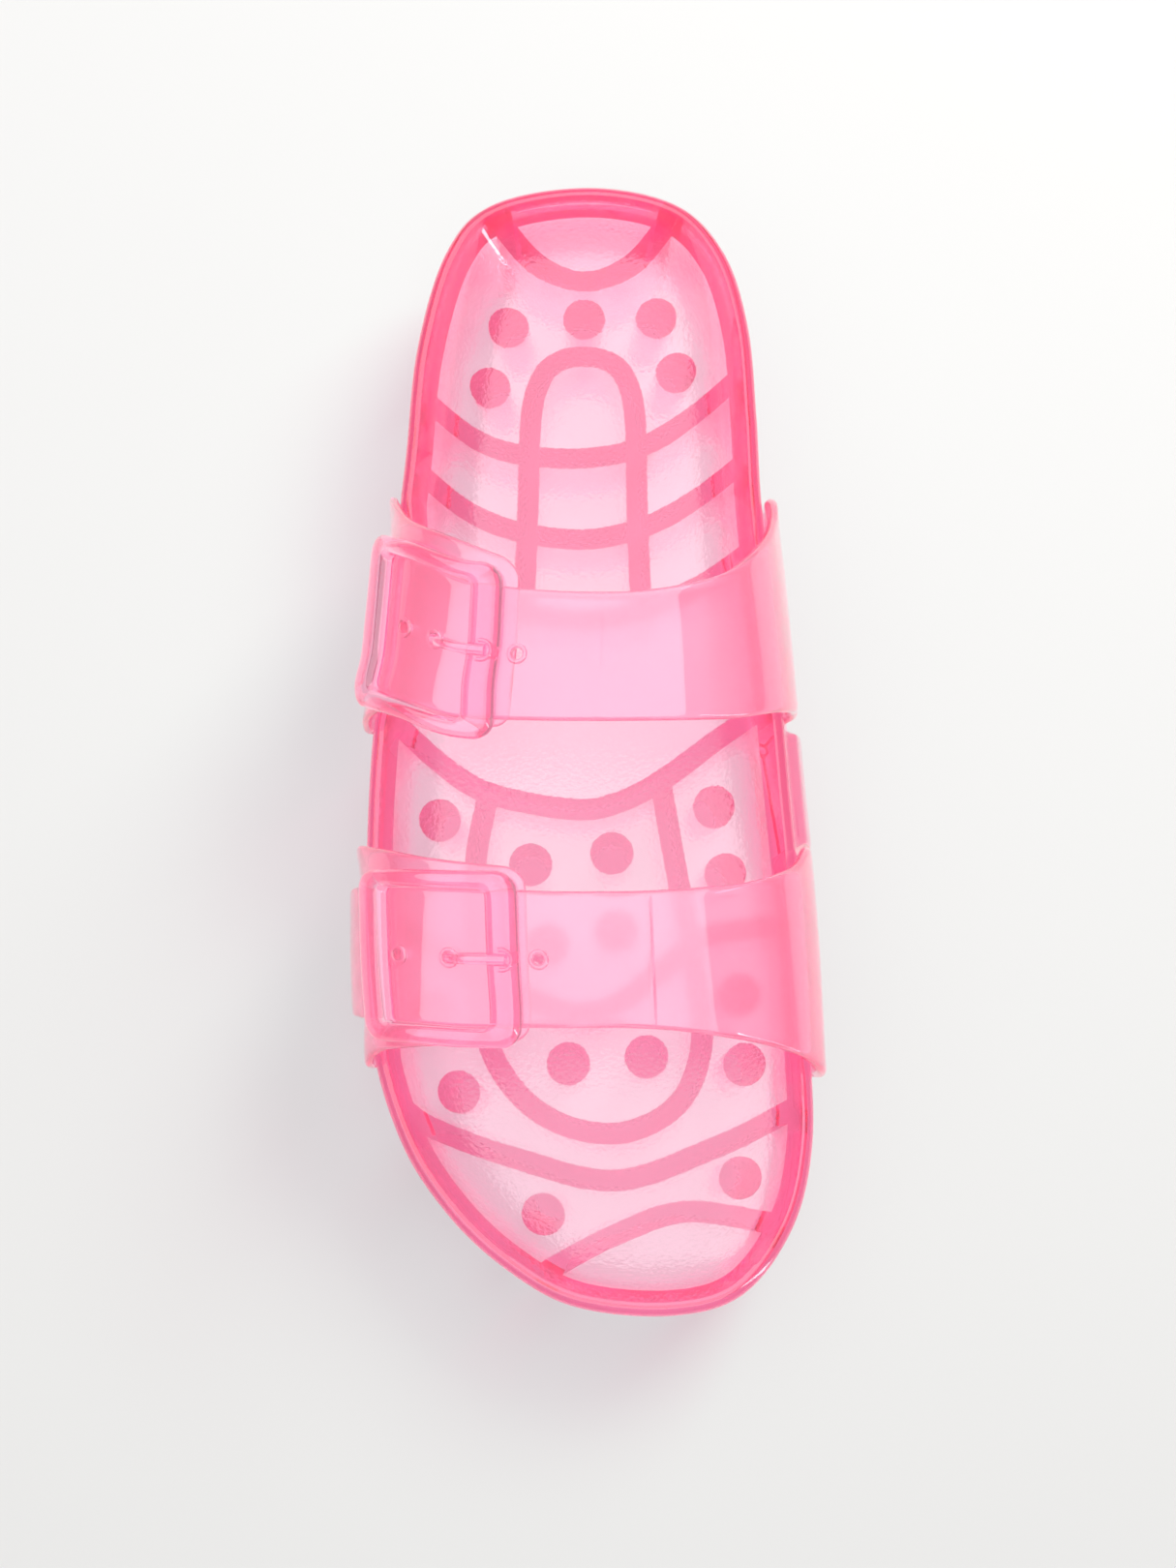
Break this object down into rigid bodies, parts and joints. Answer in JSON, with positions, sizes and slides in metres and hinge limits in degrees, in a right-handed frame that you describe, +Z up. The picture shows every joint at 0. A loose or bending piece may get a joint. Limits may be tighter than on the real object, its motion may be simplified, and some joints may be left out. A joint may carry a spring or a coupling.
{
  "type": "jelly sandal",
  "caption": "Right slide sandal of clear pink jelly plastic, with buckled instep and forefoot straps on a thick cupped footbed over open ribbed cells.",
  "frame": {"origin": "centre of the object's box on the floor plane, under the middle of the sole", "axes": "+Z up, toe along -Y, big toe's side at +X and the buckles at -X"},
  "size_m": [0.1148, 0.2784, 0.0823],
  "materials": {
    "clear_pink_pvc": "clear, glossy outside and satin on the footbed"
  },
  "bodies": {
    "root": {"sole": "clear_pink_pvc", "strap_rear": "clear_pink_pvc", "strap_front": "clear_pink_pvc", "flap_rear": "clear_pink_pvc", "flap_front": "clear_pink_pvc", "buckle_rear": "clear_pink_pvc", "buckle_front": "clear_pink_pvc", "prong_rear": "clear_pink_pvc", "prong_front": "clear_pink_pvc"}
  },
  "joints": []
}
